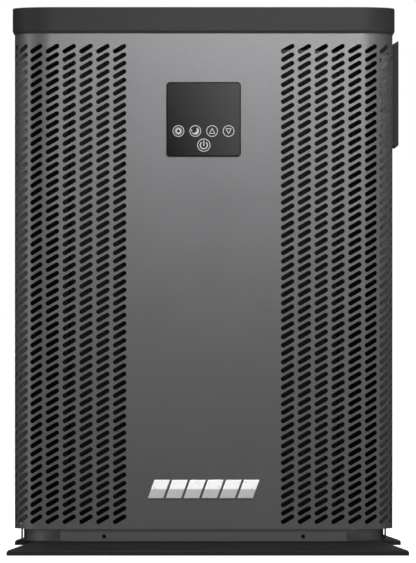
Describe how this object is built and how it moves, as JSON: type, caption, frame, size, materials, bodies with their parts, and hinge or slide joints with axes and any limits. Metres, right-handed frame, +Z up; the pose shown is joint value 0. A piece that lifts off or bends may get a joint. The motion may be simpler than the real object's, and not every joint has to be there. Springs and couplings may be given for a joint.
{
  "type": "pool heat pump unit",
  "caption": "Square tower pool heat pump with louvred sheet casing, touch panel, top-discharge fan, wrap-round evaporator and rear water unions.",
  "frame": {"origin": "on the floor under the middle of the casing, which is the middle of the four anchor holes in the feet", "axes": "+Z up; the front with the touch panel faces -Y; the water connections point +Y; +X is to the right seen from the front"},
  "size_m": [0.478, 0.5509, 0.652],
  "materials": {
    "body_paint": "fine metallic grey powder coat",
    "cover_plastic": "charcoal, lightly grained",
    "foot_rubber": "matt black",
    "grille_coat": "black powder coat",
    "fan_plastic": "moulded black",
    "motor_coat": "black enamel",
    "galvanised": "galvanised sheet",
    "bright_steel": "zinc plated",
    "black_steel": "black oxide",
    "fin_aluminium": "dark coated fins",
    "plain_aluminium": "extruded",
    "copper": "drawn copper tube",
    "brass": "satin",
    "pvc": "grey moulded pipe plastic",
    "titanium": "drawn titanium tube",
    "compressor_coat": "black enamel",
    "soft_rubber": "soft black",
    "circuit_board": "green laminate",
    "panel_glass": "black printed glass",
    "black_plastic": "moulded black",
    "terminal_plastic": "ivory moulding",
    "badge_chrome": "polished"
  },
  "bodies": {
    "casing": {"base_pan": "body_paint", "front_panel": "body_paint", "rear_panel": "body_paint", "left_side_panel": "body_paint", "right_side_panel": "body_paint", "front_sill": "body_paint", "rear_sill": "body_paint", "top_cover": "cover_plastic", "terminal_cover": "cover_plastic", "front_foot": "foot_rubber", "rear_foot": "foot_rubber", "fan_grille": "grille_coat", "fan_shroud": "fan_plastic", "fan_motor": "motor_coat", "fan_deck": "galvanised", "motor_straps": "galvanised", "electrical_box": "galvanised", "electrical_lid": "galvanised", "terminal_tray": "galvanised", "motor_bolts": "bright_steel", "compressor_bolts": "bright_steel", "casing_screws": "black_steel", "sill_screws": "black_steel", "evaporator_fins": "fin_aluminium", "heat_sink": "plain_aluminium", "coil_bends": "copper", "coil_headers": "copper", "discharge_line": "copper", "suction_line": "copper", "hot_gas_line": "copper", "evaporator_line": "copper", "liquid_lines": "copper", "filter_drier": "copper", "reversing_valve": "brass", "expansion_valve": "brass", "exchanger_shell": "pvc", "exchanger_top_cap": "pvc", "exchanger_bottom_cap": "pvc", "union_tails": "pvc", "inlet_socket": "pvc", "outlet_socket": "pvc", "titanium_coil": "titanium", "compressor": "compressor_coat", "accumulator": "compressor_coat", "compressor_grommets": "soft_rubber", "union_seals": "soft_rubber", "drain_spigot": "soft_rubber", "inverter_board": "circuit_board", "display_board": "circuit_board", "touch_glass": "panel_glass", "display_housing": "black_plastic", "cable_gland": "black_plastic", "terminal_block": "terminal_plastic", "badge": "badge_chrome"},
    "fan": {"fan_rotor": "fan_plastic", "motor_shaft": "bright_steel", "fan_nut": "bright_steel"},
    "inlet_union_nut": {"inlet_nut": "pvc"},
    "outlet_union_nut": {"outlet_nut": "pvc"},
    "gland_dome_nut": {"gland_nut": "black_plastic"}
  },
  "joints": [
    {"name": "fan_spin", "type": "hinge", "parent": "casing", "child": "fan", "pos_m": [0, 0, 0.6], "axis": [0, 0, 1], "continuous": true},
    {"name": "inlet_nut_turn", "type": "hinge", "parent": "casing", "child": "inlet_union_nut", "pos_m": [0, 0.255, 0.115], "axis": [0, 1, 0], "continuous": true},
    {"name": "outlet_nut_turn", "type": "hinge", "parent": "casing", "child": "outlet_union_nut", "pos_m": [0, 0.255, 0.3], "axis": [0, 1, 0], "continuous": true},
    {"name": "gland_nut_turn", "type": "hinge", "parent": "casing", "child": "gland_dome_nut", "pos_m": [0.05, 0.24, 0.43], "axis": [0, 1, 0], "continuous": true}
  ]
}
